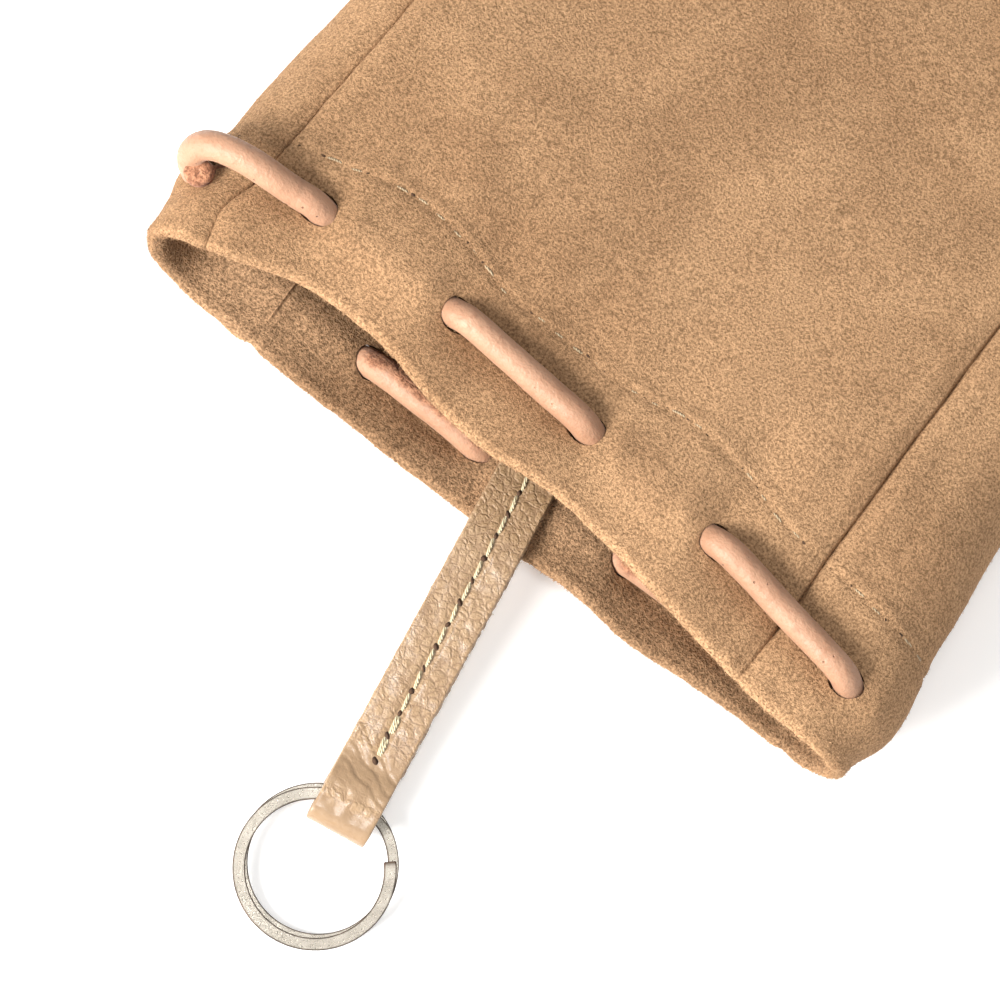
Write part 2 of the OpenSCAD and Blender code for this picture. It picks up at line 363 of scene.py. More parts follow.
def spline(points, step):
    """A closed Catmull-Rom curve through points, sampled about every step."""
    p = [np.asarray(q, float) for q in points]
    n = len(p)
    out = []
    for i in range(n):
        a, b, c, d = p[i - 1], p[i], p[(i + 1) % n], p[(i + 2) % n]
        ta, tb, tc = np.linalg.norm(b - a) ** 0.5, np.linalg.norm(c - b) ** 0.5, np.linalg.norm(d - c) ** 0.5
        m1 = (c - b) + tb * ((b - a) / ta - (c - a) / (ta + tb))
        m2 = (c - b) + tb * ((d - c) / tc - (d - b) / (tb + tc))
        k = max(2, int(np.linalg.norm(c - b) / step + 0.5))
        for j in range(k):
            t = j / k
            out.append(
                (2 * t**3 - 3 * t * t + 1) * b + (t**3 - 2 * t * t + t) * m1
                + (-2 * t**3 + 3 * t * t) * c + (t**3 - t * t) * m2
            )
    return np.array(out)


# ---------------- materials
class Nodes:
    def __init__(self, name):
        self.m = bpy.data.materials.new(name)
        self.m.use_nodes = True
        self.t = self.m.node_tree
        self.t.nodes.clear()
        self.out = self.t.nodes.new("ShaderNodeOutputMaterial")
        self.b = self.t.nodes.new("ShaderNodeBsdfPrincipled")
        self.t.links.new(self.b.outputs[0], self.out.inputs["Surface"])
        self.co = self.t.nodes.new("ShaderNodeTexCoord").outputs["Object"]

    def add(self, kind, **inputs):
        n = self.t.nodes.new("ShaderNode" + kind)
        for k, v in inputs.items():
            self.set(n, k, v)
        return n

    def set(self, n, key, v):
        key = key.replace("_", " ") if isinstance(key, str) and key not in n.inputs else key
        s = n.inputs[key]
        if isinstance(v, bpy.types.NodeSocket):
            self.t.links.new(v, s)
        else:
            s.default_value = v

    def noise(self, size_mm, detail=2.0, rough=0.5, dist=0.0):
        n = self.add("TexNoise", Vector=self.co, Scale=1000.0 / size_mm, Detail=detail)
        n.inputs["Roughness"].default_value = rough
        n.inputs["Distortion"].default_value = dist
        return n.outputs["Fac"]

    def voronoi(self, size_mm, feature, co=None):
        n = self.add("TexVoronoi", Vector=co or self.co, Scale=1000.0 / size_mm)
        n.feature = feature
        return n.outputs["Distance"]

    def ramp(self, fac, lo, hi, a=0.0, b=1.0):
        n = self.add("MapRange", Value=fac)
        n.interpolation_type = "SMOOTHSTEP"
        n.inputs["From Min"].default_value = lo
        n.inputs["From Max"].default_value = hi
        n.inputs["To Min"].default_value = a
        n.inputs["To Max"].default_value = b
        return n.outputs["Result"]

    def math(self, op, a, b=0.0):
        n = self.t.nodes.new("ShaderNodeMath")
        n.operation = op
        self.set(n, 0, a)
        self.set(n, 1, b)
        return n.outputs[0]

    def mix(self, fac, a, b, mode="MIX"):
        n = self.t.nodes.new("ShaderNodeMix")
        n.data_type = "RGBA"
        n.blend_type = mode
        self.set(n, 0, fac)
        for k, v in ((6, a), (7, b)):
            self.set(n, k, v if isinstance(v, bpy.types.NodeSocket) else (*v, 1.0))
        return n.outputs[2]

    def bump(self, height, dist_mm, strength=1.0, normal=None):
        n = self.add("Bump", Height=height, Distance=dist_mm * MM, Strength=strength)
        if normal is not None:
            self.set(n, "Normal", normal)
        return n.outputs[0]

    def attr(self, name):
        n = self.t.nodes.new("ShaderNodeAttribute")
        n.attribute_name = name
        return n.outputs["Fac"]

    def done(self, **inputs):
        """The material, with these inputs of its surface set."""
        for k, v in inputs.items():
            self.set(self.b, k, v)
        return self.m


def lin(*rgb):
    """A screen colour, 0 to 255, as the linear colour that shaders take."""
    return tuple(c / 255 / 12.92 if c / 255 <= 0.04045 else ((c / 255 + 0.055) / 1.055) ** 2.4 for c in rgb)


def suede(name, light, dark, inside=0.0):
    n = Nodes(name)
    # clouds of brushed nap, then smaller marks, then the grain itself
    cloud = n.noise(46, 3.0, 0.55, dist=0.6)
    patch = n.noise(15, 3.0, 0.6, dist=0.8)
    marks = n.noise(2.4, 2.0, 0.6)
    grain = n.noise(0.42 + 0.06 * inside, 3.0, 0.7)
    fine = n.noise(0.22 + 0.08 * inside, 2.0, 0.6)
    tone = n.math("MULTIPLY", n.ramp(cloud, 0.32, 0.68), 0.55)
    tone = n.math("ADD", tone, n.math("MULTIPLY", n.ramp(patch, 0.3, 0.7), 0.30))
    tone = n.math("ADD", tone, n.math("MULTIPLY", n.ramp(marks, 0.3, 0.7), 0.15))
    col = n.mix(tone, dark, light)
    # painted shade darkens the grain's hollows and painted light brightens its raised tips, over the fibres'
    # own lighter and darker tone
    lo, hi = 0.52 - 0.08 * inside, 1.40 + 0.12 * inside
    hollow_shade = n.mix(1.0, col, (lo, lo * 0.96, lo * 0.90), "MULTIPLY")
    tip_light = n.mix(1.0, col, (hi, hi, hi), "MULTIPLY")
    col = n.mix(n.ramp(grain, 0.32, 0.68), hollow_shade, tip_light)
    col = n.mix(n.ramp(fine, 0.56, 0.72, 0.0, 0.5), col, tuple(min(1.0, c * 1.45) for c in light))
    col = n.mix(n.ramp(fine, 0.42, 0.28, 0.0, 0.55 + 0.15 * inside), col, tuple(c * 0.5 for c in dark))
    h = n.math("ADD", n.math("MULTIPLY", grain, 0.6), n.math("MULTIPLY", fine, 0.4))
    return n.done(
        Base_Color=col,
        Roughness=n.ramp(grain, 0.3, 0.7, 0.86, 1.0),
        Specular_IOR_Level=0.1,
        Sheen_Weight=0.18,
        Sheen_Roughness=0.4,
        Sheen_Tint=(*light, 1.0),
        Normal=n.bump(h, 0.55 + 0.15 * inside, 0.8, n.bump(marks, 0.3, 0.35)),
    )


def cord_leather():
    n = Nodes("cord_leather")
    rough = n.attr("flesh")
    big = n.noise(11, 2.0, 0.5)
    small = n.noise(1.1, 3.0, 0.6)
    pits = n.voronoi(1.5, "F1")
    cracks = n.noise(0.8, 4.0, 0.75)
    col = n.mix(n.ramp(big, 0.3, 0.7), lin(156, 116, 89), lin(170, 130, 103))
    col = n.mix(n.ramp(small, 0.5, 0.75, 0.0, 0.5), col, lin(148, 103, 76))
    # the dented pits are painted darker: painted shade in them
    pit_shade = n.math("MULTIPLY", n.ramp(pits, 0.16, 0.05), n.ramp(n.noise(3.2, 1.0), 0.56, 0.66))
    col = n.mix(n.math("MULTIPLY", pit_shade, 0.75), col, lin(110, 66, 42))
    flesh = n.mix(n.ramp(cracks, 0.38, 0.62), lin(118, 74, 50), lin(178, 126, 94))
    side = n.ramp(n.math("ADD", rough, n.math("MULTIPLY", n.math("SUBTRACT", big, 0.5), 1.6)), 0.45, 0.85)
    col = n.mix(side, col, flesh)
    relief_n = n.bump(n.math("SUBTRACT", small, n.math("MULTIPLY", pit_shade, 1.5)), 0.3, 0.7)
    relief_n = n.bump(n.noise(0.36, 2.0, 0.6), 0.14, 0.6, relief_n)
    return n.done(
        Base_Color=col,
        Roughness=n.math("ADD", n.ramp(small, 0.3, 0.7, 0.46, 0.62), n.math("MULTIPLY", side, 0.4)),
        Specular_IOR_Level=0.45,
        Subsurface_Weight=0.08,
        Subsurface_Radius=(0.0012, 0.0006, 0.0004),
        Sheen_Weight=0.08,
        Normal=n.bump(n.math("MULTIPLY", cracks, side), 0.6, 1.0, relief_n),
    )


def strap_leather():
    n = Nodes("strap_leather")
    fold = n.attr("fold")
    raw = n.attr("raw")
    warp = n.add("TexNoise", Vector=n.co, Scale=1000 / 2.2, Detail=2.0)
    off = n.t.nodes.new("ShaderNodeVectorMath")
    off.operation = "MULTIPLY_ADD"
    n.t.links.new(warp.outputs["Color"], off.inputs[0])
    off.inputs[1].default_value = (0.0011, 0.0011, 0.0011)
    n.t.links.new(n.co, off.inputs[2])
    co = off.outputs[0]
    edge = n.voronoi(1.35, "DISTANCE_TO_EDGE", co)
    cells = n.ramp(edge, 0.0, 0.26)
    cells2 = n.ramp(n.voronoi(0.6, "DISTANCE_TO_EDGE", co), 0.0, 0.3)
    fine = n.noise(0.3, 2.0, 0.6)
    tone = n.noise(7, 3.0, 0.6)
    keep = n.math("SUBTRACT", 1.0, n.math("MULTIPLY", fold, 0.92))
    pebble = n.math("ADD", n.math("MULTIPLY", cells, 0.68), n.math("MULTIPLY", cells2, 0.32))
    # the creases between the pebbles are painted darker: painted shade in them
    crease_shade = n.math("MULTIPLY", n.ramp(edge, 0.0, 0.16, 1.0, 0.0), keep)
    col = n.mix(n.ramp(tone, 0.3, 0.7), lin(144, 116, 85), lin(158, 130, 98))
    col = n.mix(n.math("MULTIPLY", crease_shade, 0.42), col, lin(112, 84, 60))
    col = n.mix(n.ramp(fine, 0.55, 0.8, 0.0, 0.2), col, lin(170, 145, 118))
    rawcol = n.mix(n.ramp(n.noise(0.4, 2.0), 0.35, 0.65), lin(122, 93, 66), lin(176, 150, 120))
    col = n.mix(raw, col, rawcol)
    col = n.mix(n.math("MULTIPLY", fold, 0.3), col, lin(112, 88, 64))
    amount = n.math("MULTIPLY", keep, n.math("SUBTRACT", 1.0, raw))
    relief_n = n.bump(n.math("MULTIPLY", pebble, amount), 0.13, 0.95)
    relief_n = n.bump(n.noise(1.0, 2.0, 0.6), 0.10, 0.6, relief_n)
    return n.done(
        Base_Color=col,
        Roughness=n.math("ADD", n.ramp(pebble, 0.2, 0.9, 0.52, 0.36), n.math("MULTIPLY", raw, 0.5)),
        Coat_Weight=0.55,
        Coat_Roughness=0.17,
        Specular_IOR_Level=0.5,
        Normal=n.bump(fine, 0.06, 0.5, relief_n),
    )


def thread_mat(name, a, b):
    n = Nodes(name)
    w = n.add("TexWave", Vector=n.co, Scale=1000 / 0.9, Distortion=1.5, Detail=2.0)
    w.bands_direction = "DIAGONAL"
    f = n.noise(0.35, 2.0)
    ply = n.math("ADD", w.outputs["Fac"], n.math("SUBTRACT", f, 0.5))
    return n.done(
        Base_Color=n.mix(n.ramp(ply, 0.2, 0.9), a, b),
        Roughness=n.ramp(f, 0.3, 0.7, 0.55, 0.8),
        Sheen_Weight=0.2,
        Normal=n.bump(w.outputs["Fac"], 0.15, 0.8),
    )


def nickel():
    n = Nodes("satin_nickel")
    g = n.noise(0.26, 2.0, 0.6)
    h = n.noise(4.0, 2.0, 0.5)
    spot = n.ramp(n.noise(0.6, 1.0), 0.62, 0.76)
    edge = n.attr("edge")
    col = n.mix(n.ramp(h, 0.3, 0.7), lin(152, 146, 136), lin(172, 166, 156))
    dull = n.mix(1.0, col, (0.88, 0.87, 0.85), "MULTIPLY")
    col = n.mix(n.ramp(g, 0.35, 0.65), dull, n.mix(1.0, col, (1.1, 1.1, 1.1), "MULTIPLY"))
    col = n.mix(n.math("MULTIPLY", spot, 0.06), col, lin(130, 116, 100))
    # the edge attribute paints the wire's rims and cut ends dark brown and not metal: painted shade
    col = n.mix(edge, col, n.mix(n.ramp(h, 0.35, 0.65), lin(44, 32, 26), lin(74, 56, 44)))
    return n.done(
        Base_Color=col,
        Metallic=n.math("SUBTRACT", 1.0, edge),
        Specular_IOR_Level=0.0,
        Roughness=n.math("ADD", n.ramp(g, 0.3, 0.7, 0.26, 0.42), n.math("MULTIPLY", edge, 0.3)),
        Normal=n.bump(g, 0.05, 0.8),
    )


# a needle hole's darkness is painted: this dark material on a small dish stands for the shade inside the
# hole
def painted_hole_shade():
    n = Nodes("needle_hole_shade")
    f = n.noise(0.3, 2.0)
    return n.done(
        Base_Color=n.mix(f, lin(46, 30, 18), lin(84, 58, 38)),
        Roughness=n.ramp(f, 0.3, 0.7, 0.8, 1.0),
        Normal=n.bump(f, 0.1, 0.6),
    )


SUEDE = suede("suede", lin(171, 136, 102), lin(139, 107, 78))
SUEDE_IN = suede("suede_inside", lin(151, 120, 91), lin(119, 91, 66), 1.0)
# the loose hairs get a lighter copy of the suede colours: a painted highlight on the fuzzy rim and nap
NAP_HIGHLIGHT = suede("suede_nap_highlight", lin(186, 152, 118), lin(150, 116, 86))
CORD = cord_leather()
STRAP = strap_leather()
THREAD = thread_mat("waxed_thread", lin(158, 142, 108), lin(214, 204, 172))
HEM_THREAD = thread_mat("hem_thread", lin(138, 114, 84), lin(182, 164, 132))
SEAM_THREAD = thread_mat("seam_thread", lin(110, 86, 60), lin(150, 126, 94))
NICKEL = nickel()
HOLE_SHADE = painted_hole_shade()


# ---------------- suede walls
def dive(s, d):
    """The cord's way through a hole, in order of s: in at d = 1, out at d = -1."""
    way = [(-6.4, -CORD_R - 0.02), (-3.6, -1.95), (-0.9, 1.3), (1.8, 4.35), (5.2, 5.2)]
    way = way if d > 0 else [(-t, o) for t, o in way[::-1]]
    return [surface(s + t, ROW, o) for t, o in way]


def wall(name, s0, s1, holes, nodes):
    """A suede wall from seam to seam: grain face, rolled lip and inner face as one closed mesh."""
    n = int((s1 - s0 - 4.4) / 0.6) + 1
    ends = np.array([0, 0.2, 0.4, 0.65, 0.95, 1.3, 1.7])
    ss = np.concatenate([s0 + ends, np.linspace(s0 + 2.2, s1 - 2.2, n), (s1 - ends)[::-1]])
    # close rows at the mouth and the base, wide ones between
    ys = np.concatenate([
        np.arange(LIP_R, 25.8, 0.6), np.arange(26.2, 60, 1.1), np.arange(60.5, 156, 2.4),
        np.arange(157, LENGTH - 0.2, 1.2), [LENGTH],
    ])
    inner = np.where(ys < 22.5, HEM_T, SKIN)
    path = [(y, 0.0) for y in ys[::-1]]
    for a in np.arange(15, 180, 15):
        r = math.radians(a)
        path.append((LIP_R - LIP_R * math.sin(r), LIP_R - LIP_R * math.cos(r)))
    path += [(y, o) for y, o in zip(ys, inner)]
    py = np.array([p[0] for p in path])
    po = np.array([p[1] for p in path])
    S, Y = np.meshgrid(ss, py)
    O = np.broadcast_to(po[:, None], S.shape)
    # the seam shows inside too, as a shallower groove
    ins = (O > 1.2) * 0.5 * np.exp(-((seam_gap(S) / 0.7) ** 2))
    v = surface(S, Y, O - ins)
    rows, cols = S.shape
    faces = grid_faces(rows, cols, wrap_rows=True)
    k = len(ys)
    arcs = rows - 2 * k
    for c, flip in ((0, False), (cols - 1, True)):
        ids = [r * cols + c for r in range(rows)]
        for i in range(k - 1):
            q = (ids[i], ids[i + 1], ids[rows - 2 - i], ids[rows - 1 - i])
            faces.append(q[::-1] if flip else q)
        q = tuple(ids[k - 1 : k + arcs + 1])
        faces.append(q[::-1] if flip else q)
    ob = make(name, v.reshape(-1, 3), faces, SUEDE)
    ob.data.materials.append(SUEDE_IN)
    # the rows beyond the lip are the inner face
    idx = np.zeros(len(ob.data.polygons), int)
    per = cols - 1
    idx[(k + arcs // 2 + 1) * per : rows * per] = 1
    ob.data.polygons.foreach_set("material_index", idx)
    outward(ob)
    for s in holes:
        path = np.array(dive(s, 1 if HOLES.index(s) % 2 == 0 else -1))
        c = path[2]
        nn = path[1] - path[3]
        nn /= np.linalg.norm(nn)
        b = np.array([0, 1.0, 0])
        t = np.cross(nn, b)
        t /= np.linalg.norm(t)
        b = np.cross(t, nn)
        m = 28
        a = np.arange(m) * 2 * math.pi / m
        hole_r = CORD_R + 0.32 + 0.10 * np.sin(3 * a + s)
        ring = hole_r[:, None] * (np.cos(a)[:, None] * t + np.sin(a)[:, None] * b)
        cv = np.concatenate([c + ring + nn * 9, c + ring - nn * 9])
        cf = grid_faces(2, m, wrap_cols=True) + [tuple(range(m))[::-1], tuple(range(m, 2 * m))]
        cut = make("cutter", cv, cf, SUEDE_IN, smooth_faces=False)
        outward(cut)
        mod = ob.modifiers.new("hole", "BOOLEAN")
        mod.operation = "DIFFERENCE"
        mod.solver = "MANIFOLD"
        mod.object = cut
        dg = bpy.context.evaluated_depsgraph_get()
        new = bpy.data.meshes.new_from_object(ob.evaluated_get(dg))
        ob.modifiers.clear()
        old = ob.data
        ob.data = new
        bpy.data.meshes.remove(old)
        bpy.data.objects.remove(cut)
    sharpen(ob, 50)
    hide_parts(*nodes)
    return ob


front = wall("front_wall", SEAM_FL, SEAM_FR, FRONT_HOLES, ["front_panel", "front_mouth"])
right = wall("right_gusset_wall", SEAM_FR, SEAM_BR, RIGHT_HOLES, ["right_gusset", "right_gusset_mouth"])
back = wall("back_wall", SEAM_BR, SEAM_BL, BACK_HOLES, ["back_panel"])
left = wall("left_gusset_wall", SEAM_BL, SEAM_FL + P0, LEFT_HOLES, ["left_gusset", "left_gusset_mouth"])


# ---------------- loose nap on the suede's outline
def hairs(base, grow, length, width=0.045):
    """One thin bent hair at each base point, along grow."""
    m = len(base)
    r = np.random.default_rng(len(base))
    g = grow / np.linalg.norm(grow, axis=1, keepdims=True)
    side = np.cross(g, r.normal(size=(m, 3)))
    side /= np.linalg.norm(side, axis=1, keepdims=True)
    other = np.cross(g, side)
    kink = base + g * (length * 0.55)[:, None] + side * (length * r.uniform(-0.12, 0.12, m))[:, None]
    tip = base + g * length[:, None]
    tip = tip + side * (length * r.uniform(-0.45, 0.45, m))[:, None]
    tip = tip + other * (length * r.uniform(-0.45, 0.45, m))[:, None]
    root = base - g * 0.12
    v = []
    for at, wide in ((root, width), (kink, 0.7 * width)):
        for q in (0, 120, 240):
            c, d = math.cos(math.radians(q)), math.sin(math.radians(q))
            v.append(at + (side * c + other * d) * wide)
    v = np.stack([*v, tip], axis=1)
    v[..., 2] = np.maximum(v[..., 2], 0.03)
    one = [(0, 1, 4, 3), (1, 2, 5, 4), (2, 0, 3, 5), (3, 4, 6), (4, 5, 6), (5, 3, 6), (0, 2, 1)]
    return v.reshape(-1, 3), [tuple(i + 7 * k for i in q) for k in range(m) for q in one]


def nap(name, s0, s1, lip_n, wall_n, y1, body=None):
    r = np.random.default_rng(int(abs(s0) * 10))
    s = r.uniform(s0 + 0.2, s1 - 0.2, lip_n)
    a = r.uniform(-0.5, 3.4, lip_n)
    past = 4 * (a - math.pi)
    y = np.where(a < 0, LIP_R - 2.6 * a, np.where(a > math.pi, LIP_R + past, LIP_R * (1 - np.sin(a))))
    o = np.where(a < 0, 0.0, np.where(a > math.pi, HEM_T, LIP_R * (1 - np.cos(a))))
    s = np.concatenate([s, r.uniform(s0 + 0.2, s1 - 0.2, wall_n)])
    y = np.concatenate([y, r.uniform(LIP_R, y1, wall_n)])
    o = np.concatenate([o, np.zeros(wall_n)])
    base = surface(s, y, o)
    mid = surface(s, np.maximum(y, LIP_R), LIP_R + 0 * s)
    grow = base - mid
    grow /= np.linalg.norm(grow, axis=1, keepdims=True)
    grow = grow + r.normal(size=grow.shape) * 0.65
    length = np.concatenate([r.uniform(0.25, 0.62, lip_n), r.uniform(0.18, 0.42, wall_n)])
    v, f = hairs(base, grow, length)
    ob = make(name, v, f, NAP_HIGHLIGHT, body, smooth_faces=False)
    return ob


nap_front = nap("nap_front", SEAM_FL, SEAM_FR, 2600, 3200, 40.0)
nap("nap_back", SEAM_BR, SEAM_BL, 3600, 2500, 60.0, "pouch")
nap_left = nap("nap_left", SEAM_BL, SEAM_FL + P0, 1500, 2600, 49.0)
nap_right = nap("nap_right", SEAM_FR, SEAM_BR, 1500, 2600, 49.0)
for nm, a, b in (("left_side", SEAM_BL, SEAM_FL + P0), ("right_side", SEAM_FR, SEAM_BR)):
    r = np.random.default_rng(len(nm))
    ns = 4200
    hs, hy = r.uniform(a + 0.3, b - 0.3, ns), r.uniform(49, LENGTH - 2, ns)
    hb = surface(hs, hy, 0 * hs)
    hg = hb - surface(hs, hy, LIP_R + 0 * hs)
    hg = hg / np.linalg.norm(hg, axis=1, keepdims=True) + r.normal(size=hg.shape) * 0.65
    hv, hf = hairs(hb, hg, r.uniform(0.2, 0.45, ns))
    ob = make("nap_" + nm, hv, hf, NAP_HIGHLIGHT, "pouch", smooth_faces=False)


# ---------------- drawstring
def over(s, proud=0.0):
    return [surface(s, ROW, -(CORD_R + proud))]


def under(s):
    return [surface(s, ROW, HEM_T + 0.05 + CORD_R)]


route, flesh = [], []


def lay(points, inside):
    route.extend(points)
    flesh.extend([inside] * len(points))


def lay_dive(i):
    d = 1 if i % 2 == 0 else -1
    for p, f in zip(dive(HOLES[i], d), (0, 0, 0.5, 1, 1)[::d]):
        lay([p], f)


lay_dive(0)
lay(under(-36), 1)
lay_dive(1)
lay(over(-15, 0.1) + over(-9.6, 0.15) + over(-4, 0.1), 0)
lay_dive(2)
lay(under(17.5), 1)
lay_dive(3)
lay(over(37, 0.15) + over(45, 0.2) + over(53, 0.1), 0)
lay_dive(4)
lay(under(69) + under(75.5) + under(82), 1)
lay_dive(5)
lay(over(97), 0)
lay_dive(6)
lay(under(119), 1)
lay_dive(7)
lay(over(145), 0)
lay_dive(8)
lay(under(170.5), 1)
lay_dive(9)
lay(over(191) + over(200) + over(207, 0.1), 0)
lay_dive(10)
lay(under(222.5), 1)
# the slack loop that stands proud over the left corner
last_hole = LEFT_HOLES[-1]
mid = surface(last_hole, ROW, 0.0)
out = normal_at(last_hole, ROW)
on = tangent_at(last_hole, ROW)
lay([mid - on * 2.6 - out * 4.8, mid - on * 0.8 - out * 2.8], 1)
for p, f in (
    ((-68.0, 10.9, 18.5), 1),
    ((-68.5, 10.4, 22.0), 1),
    ((-69.7, 10.1, 25.4), 0.3),
    ((-70.0, 10.6, 28.0), 0),
    ((-69.5, 11.4, 30.4), 0),
    ((-67.9, 12.2, 32.0), 0),
    ((-64.9, 12.8, 33.0), 0),
    ((-61.0, 13.5, 33.0), 0),
    ((-58.6, 13.7, 32.8), 0),
):
    lay([np.array(p)], f)

cord_pts = spline(route, 0.8)
# even the spacing out and ease the bends
for _ in range(6):
    cord_pts = 0.5 * cord_pts + 0.25 * (np.roll(cord_pts, 1, 0) + np.roll(cord_pts, -1, 0))
cord_sides = 26
v, f = tube(cord_pts, CORD_R, cord_sides, closed=True)
# a leather cord is never quite round or even
u = vnoise(v, 5.0, 21) * 0.10 + vnoise(v, 1.4, 22) * 0.045
cen = np.repeat(cord_pts, cord_sides, axis=0)
v = cen + (v - cen) * (1 + u / CORD_R)[:, None]
v[:, 2] = np.maximum(v[:, 2], 0.03)
# the cord's rough end, tucked into the gusset hole beside the loop
axis = np.array([-0.06, -0.30, 0.95])
axis /= np.linalg.norm(axis)
tip = np.array([-67.5, 8.5, 28.0])
steps = [
    (-5.0, 1.0), (-4.0, 1.0), (-3.0, 1.0), (-2.0, 1.0), (-1.2, 1.0), (-0.7, 0.99), (-0.35, 0.94),
    (-0.12, 0.84), (0.0, 0.70), (0.04, 0.5), (0.06, 0.3), (0.07, 0.14), (0.07, 0.03),
]
stub_v, stub_f = tube([tip + axis * a for a, _ in steps], [2.28 * b for _, b in steps], cord_sides)
stub_v = stub_v + (axis * 0.10 + (stub_v - tip) * 0.03) * vnoise(stub_v, 0.9, 24)[:, None]
cord = make("leather_cord", *join_parts([(v, f), (stub_v, stub_f)]), CORD)
outward(cord)
# how much of the flesh side shows, from the nearest points of the route
near = ((cord_pts[:, None, :] - np.array(route)[None, :, :]) ** 2).sum(-1)
w = 1.0 / (near + 0.5) ** 2
fv = (w * np.array(flesh, float)).sum(1) / w.sum(1)
out_dir = v - cen
out_dir = out_dir / np.linalg.norm(out_dir, axis=1, keepdims=True)
fv = np.repeat(fv, cord_sides) * np.clip(0.62 + 0.5 * out_dir[:, 1] + 0.25 * out_dir[:, 2], 0, 1.1)
paint(cord, "flesh", np.concatenate([fv, np.full(len(stub_v), 1.7)]))
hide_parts("drawstring")


# ---------------- key strap
LEAN, PITCH = math.radians(9.1), math.radians(6.65)
HINGE = np.array([3.3, -4.5, LIFT + 2.6 + 0.05 + 1.3])
WAY = np.array([math.sin(LEAN), -math.cos(LEAN), 0.0])
SIDE = np.array([math.cos(LEAN), math.sin(LEAN), 0.0])
STRAP_L, STRAP_T, LAYER = 51.6, 1.3, 1.27
FOLD_U = STRAP_L - 12.6
EYE = 1.1


def strap_line(u):
    """Centre line of the strap: flat inside the mouth, sloping down outside."""
    u = np.asarray(u, float)
    e = 3.0
    t = np.clip((u + e) / (2 * e), 0, 1)
    run = np.where(u > e, u, np.where(u < -e, 0, e * t * t))
    a = np.where(u > e, PITCH, PITCH * t)
    z = -run * math.sin(PITCH)
    fwd = u - run * (1 - math.cos(PITCH))
    p = HINGE + fwd[..., None] * WAY + z[..., None] * np.array([0, 0, 1.0])
    nrm = np.sin(a)[..., None] * WAY + np.cos(a)[..., None] * np.array([0, 0, 1.0])
    return p, nrm


def strap_point(u, v, w):
    p, n = strap_line(u)
    return p + np.asarray(v)[..., None] * SIDE + np.asarray(w)[..., None] * n


def strip(line, half_l, half_r, rough, seed):
    """A closed leather strip along line, points [u, w, nu, nw] of its grain face.
    Returns its vertices and faces, and how raw each vertex is: 1 on the cut edges and the back."""
    line = np.asarray(line, float)
    r, step = 0.28, 0.32
    bottom = [(math.sin(q) * r, -(LAYER - r) - r * math.cos(q), 1.0) for q in np.radians((0, 30, 60, 90))]
    top_edge = [(math.cos(q) * r, -r + r * math.sin(q), 0.15) for q in np.radians((0, 30, 60))]
    top_edge[0] = (*top_edge[0][:2], 0.55)
    edge = [*bottom, (r, -LAYER * 0.5, 1.0), *top_edge]
    m = int((half_l + half_r - 2 * r) / step)
    prof = [(-half_l + r - x, z, k) for x, z, k in edge]
    prof += [(-half_l + r + i * (half_l + half_r - 2 * r) / m, 0.0, 0.0) for i in range(m + 1)]
    prof += [(half_r - r + x, z, k) for x, z, k in reversed(edge)]
    prof = np.array(prof)
    rows, cols = len(line), len(prof)
    v = np.repeat(prof[None, :, 0], rows, 0)
    o = np.repeat(prof[None, :, 1], rows, 0)
    U = line[:, 0][:, None] + line[:, 2][:, None] * o
    Wd = line[:, 1][:, None] + line[:, 3][:, None] * o
    pts = strap_point(U, v, Wd)
    raw = np.repeat(prof[None, :, 2], rows, 0)
    side = (np.abs(v) > min(half_l, half_r) - 0.35) * 1.0
    pts = pts + SIDE * (side * rough * vnoise(pts, 0.7, 40 + seed))[..., None]
    faces = grid_faces(rows, cols, wrap_cols=True)
    faces += [tuple(range(cols))[::-1], tuple(range((rows - 1) * cols, rows * cols))]
    return pts.reshape(-1, 3), faces, raw.reshape(-1)


def finish_strap(name, strips, nodes):
    verts, faces = join_parts([(a, b) for a, b, _ in strips])
    raw = np.concatenate([c for _, _, c in strips])
    ob = make(name, verts, faces, STRAP)
    outward(ob)
    paint(ob, "raw", raw)
    paint(ob, "fold", plain(verts))
    sharpen(ob, 60)
    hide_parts(*nodes)
    return ob


def plain(v):
    """Where the grain is pulled smooth: below the stitching and at the very fold, but not
    at the wrinkles between them."""
    u = (v - HINGE) @ WAY
    w = u + 0.5 * vnoise(v, 2.2, 61)
    wrinkled = 0.75 * np.exp(-(((w - STRAP_L + 5.3) / 1.3) ** 2))
    return 0.85 * smooth((w - FOLD_U + 2.5) / 2.0) - wrinkled + 0.15 * smooth((w - STRAP_L + 4.2) / 0.6)


def creases(v, a, u):
    """Slack wrinkles above the fold, and two slanting creases below the stitching."""
    band = np.exp(-(((u - STRAP_L + 5.2) / 1.3) ** 2))
    out = 0.07 * band * vnoise(v, 0.8, 62) + 0.07 * band
    for k, u0 in ((0.95, FOLD_U + 1.0), (0.8, FOLD_U + 3.4), (1.15, FOLD_U - 1.6)):
        e = (u - u0 - k * a * 0.55 + 0.3 * np.sin(a * 1.3)) / 0.28
        out = out - 0.13 * np.exp(-(e**2)) + 0.07 * np.exp(-((e - 1.6) ** 2))
    return out


def groove(v, u):
    return -0.24 * np.exp(-((v / 0.65) ** 2)) * smooth((u + 24) / 3) * smooth((FOLD_U - 0.5 - u) / 2.5)


us = np.arange(-23.5, FOLD_U + 0.01, 0.35)
us = np.append(us, FOLD_U)
top = [(a, STRAP_T, 0.0, 1.0) for a in us]
low = [(a, -STRAP_T, 0.0, -1.0) for a in us]
upper = strip(top, 5.05, 5.05, 0.03, 1)
lower = strip(low, 5.0, 5.25, 0.16, 2)


